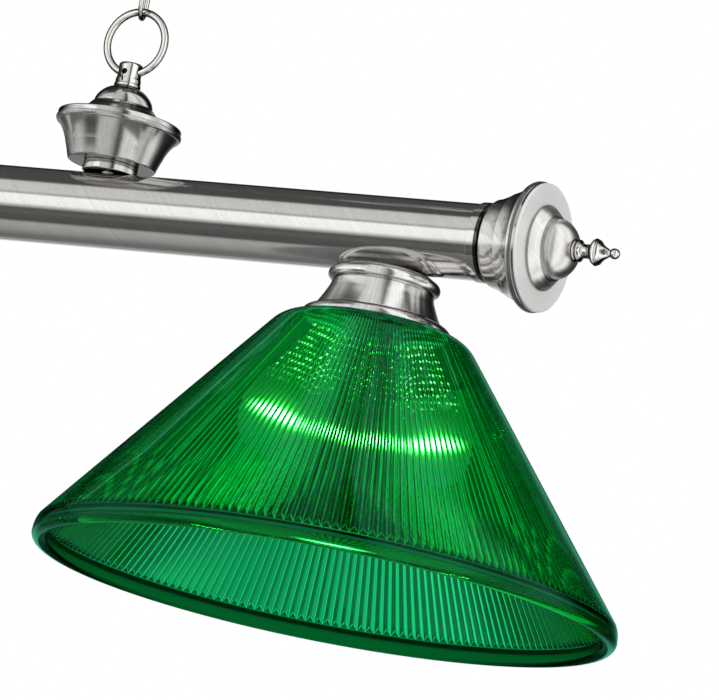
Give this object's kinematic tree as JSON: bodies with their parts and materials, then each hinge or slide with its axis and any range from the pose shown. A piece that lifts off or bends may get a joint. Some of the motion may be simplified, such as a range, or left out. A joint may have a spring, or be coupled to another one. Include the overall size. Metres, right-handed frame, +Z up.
{
  "type": "pool table lamp",
  "caption": "Straight-bar pool table lamp on two chains, brushed nickel bar with turned end caps and finials, and conical ribbed green shades on socket cups.",
  "frame": {"origin": "bottom centre of the lamp: level with the shades' rims, under the middle of the bar", "axes": "+X along the bar, +Z up to the ceiling, -Y the side it is seen from"},
  "size_m": [1.4978, 0.3558, 0.6892],
  "materials": {
    "brushed_nickel": "satin",
    "polished_nickel": "polished",
    "zinc_steel": "zinc plated",
    "green_acrylic": "gloss, ribbed inside",
    "porcelain": "glazed",
    "brass": "plain",
    "bulb_glass": "frosted",
    "bulb_cap": "satin",
    "lead_insulation": "matte",
    "cord_jacket": "clear silver"
  },
  "bodies": {
    "ceiling": {"left_canopy": "brushed_nickel", "left_canopy_loop": "polished_nickel", "left_mounting_strap": "zinc_steel", "right_canopy": "brushed_nickel", "right_canopy_loop": "polished_nickel", "right_mounting_strap": "zinc_steel", "canopy_nipples": "zinc_steel", "canopy_locknuts": "zinc_steel"},
    "left_top_link": {"left_top_link": "polished_nickel"},
    "left_chain": {"left_chain": "polished_nickel", "supply_cord": "cord_jacket"},
    "left_ring": {"left_hanger_ring": "polished_nickel"},
    "left_finial": {"left_finial": "polished_nickel"},
    "right_top_link": {"right_top_link": "polished_nickel"},
    "right_chain": {"right_chain": "polished_nickel"},
    "right_ring": {"right_hanger_ring": "polished_nickel"},
    "right_finial": {"right_finial": "polished_nickel"},
    "left_shade_ring": {"left_shade_ring": "brushed_nickel"},
    "left_bulb": {"left_bulb_glass": "bulb_glass", "left_bulb_base": "bulb_cap"},
    "middle_shade_ring": {"middle_shade_ring": "brushed_nickel"},
    "middle_bulb": {"middle_bulb_glass": "bulb_glass", "middle_bulb_base": "bulb_cap"},
    "right_shade_ring": {"right_shade_ring": "brushed_nickel"},
    "right_bulb": {"right_bulb_glass": "bulb_glass", "right_bulb_base": "bulb_cap"},
    "bar": {"bar_locknuts": "zinc_steel", "bar_tube": "brushed_nickel", "bar_wiring": "lead_insulation", "centre_contacts": "brass", "end_plugs": "zinc_steel", "hanger_nipples": "zinc_steel", "lampholders": "porcelain", "left_end_bell": "brushed_nickel", "left_end_collar": "brushed_nickel", "left_end_dome": "brushed_nickel", "left_end_plate": "brushed_nickel", "left_hanger_collar": "brushed_nickel", "left_hanger_cup": "brushed_nickel", "left_hanger_dome": "brushed_nickel", "left_hanger_lid": "brushed_nickel", "left_hanger_loop": "polished_nickel", "left_shade": "green_acrylic", "left_socket_cup": "brushed_nickel", "middle_shade": "green_acrylic", "middle_socket_cup": "brushed_nickel", "right_end_bell": "brushed_nickel", "right_end_collar": "brushed_nickel", "right_end_dome": "brushed_nickel", "right_end_plate": "brushed_nickel", "right_hanger_collar": "brushed_nickel", "right_hanger_cup": "brushed_nickel", "right_hanger_dome": "brushed_nickel", "right_hanger_lid": "brushed_nickel", "right_hanger_loop": "polished_nickel", "right_shade": "green_acrylic", "right_socket_cup": "brushed_nickel", "screw_shells": "brass", "socket_nipples": "zinc_steel", "tie_rods": "zinc_steel"}
  },
  "joints": [
    {"name": "left_swing", "type": "hinge", "parent": "ceiling", "child": "left_top_link", "pos_m": [-0.368, 0, 0.63435], "axis": [1, 0, 0], "range_deg": [-20, 20]},
    {"name": "left_sway", "type": "hinge", "parent": "left_top_link", "child": "left_chain", "pos_m": [-0.368, 0, 0.60395], "axis": [0, 1, 0], "range_deg": [-12, 12]},
    {"name": "left_ring_turn", "type": "hinge", "parent": "left_chain", "child": "left_ring", "pos_m": [-0.368, 0, 0.34875], "axis": [0, 1, 0], "range_deg": [-12, 12]},
    {"name": "right_swing", "type": "hinge", "parent": "ceiling", "child": "right_top_link", "pos_m": [0.368, 0, 0.63435], "axis": [1, 0, 0], "range_deg": [-20, 20]},
    {"name": "right_sway", "type": "hinge", "parent": "right_top_link", "child": "right_chain", "pos_m": [0.368, 0, 0.60395], "axis": [0, 1, 0], "range_deg": [-12, 12]},
    {"name": "right_ring_turn", "type": "hinge", "parent": "right_chain", "child": "right_ring", "pos_m": [0.368, 0, 0.34875], "axis": [0, 1, 0], "range_deg": [-12, 12]},
    {"name": "bar_rock", "type": "hinge", "parent": "left_ring", "child": "bar", "pos_m": [-0.368, 0, 0.3127], "axis": [1, 0, 0], "range_deg": [-18, 18]},
    {"name": "left_finial_thread", "type": "hinge", "parent": "bar", "child": "left_finial", "pos_m": [-0.711, 0, 0.2248], "axis": [-1, 0, 0], "range_deg": [0, 1080]},
    {"name": "right_finial_thread", "type": "hinge", "parent": "bar", "child": "right_finial", "pos_m": [0.711, 0, 0.2248], "axis": [1, 0, 0], "range_deg": [0, 1080]},
    {"name": "left_shade_ring_thread", "type": "hinge", "parent": "bar", "child": "left_shade_ring", "pos_m": [-0.571, 0, 0.1598], "axis": [0, 0, -1], "range_deg": [0, 720]},
    {"name": "left_bulb_thread", "type": "hinge", "parent": "bar", "child": "left_bulb", "pos_m": [-0.571, 0, 0.1248], "axis": [0, 0, -1], "range_deg": [0, 1080]},
    {"name": "middle_shade_ring_thread", "type": "hinge", "parent": "bar", "child": "middle_shade_ring", "pos_m": [0, 0, 0.1598], "axis": [0, 0, -1], "range_deg": [0, 720]},
    {"name": "middle_bulb_thread", "type": "hinge", "parent": "bar", "child": "middle_bulb", "pos_m": [0, 0, 0.1248], "axis": [0, 0, -1], "range_deg": [0, 1080]},
    {"name": "right_shade_ring_thread", "type": "hinge", "parent": "bar", "child": "right_shade_ring", "pos_m": [0.571, 0, 0.1598], "axis": [0, 0, -1], "range_deg": [0, 720]},
    {"name": "right_bulb_thread", "type": "hinge", "parent": "bar", "child": "right_bulb", "pos_m": [0.571, 0, 0.1248], "axis": [0, 0, -1], "range_deg": [0, 1080]}
  ],
  "couplings": [
    {"joint": "right_swing", "follows": "left_swing", "ratio": 1},
    {"joint": "right_sway", "follows": "left_sway", "ratio": 1},
    {"joint": "left_ring_turn", "follows": "left_sway", "ratio": -1},
    {"joint": "right_ring_turn", "follows": "left_sway", "ratio": -1}
  ]
}
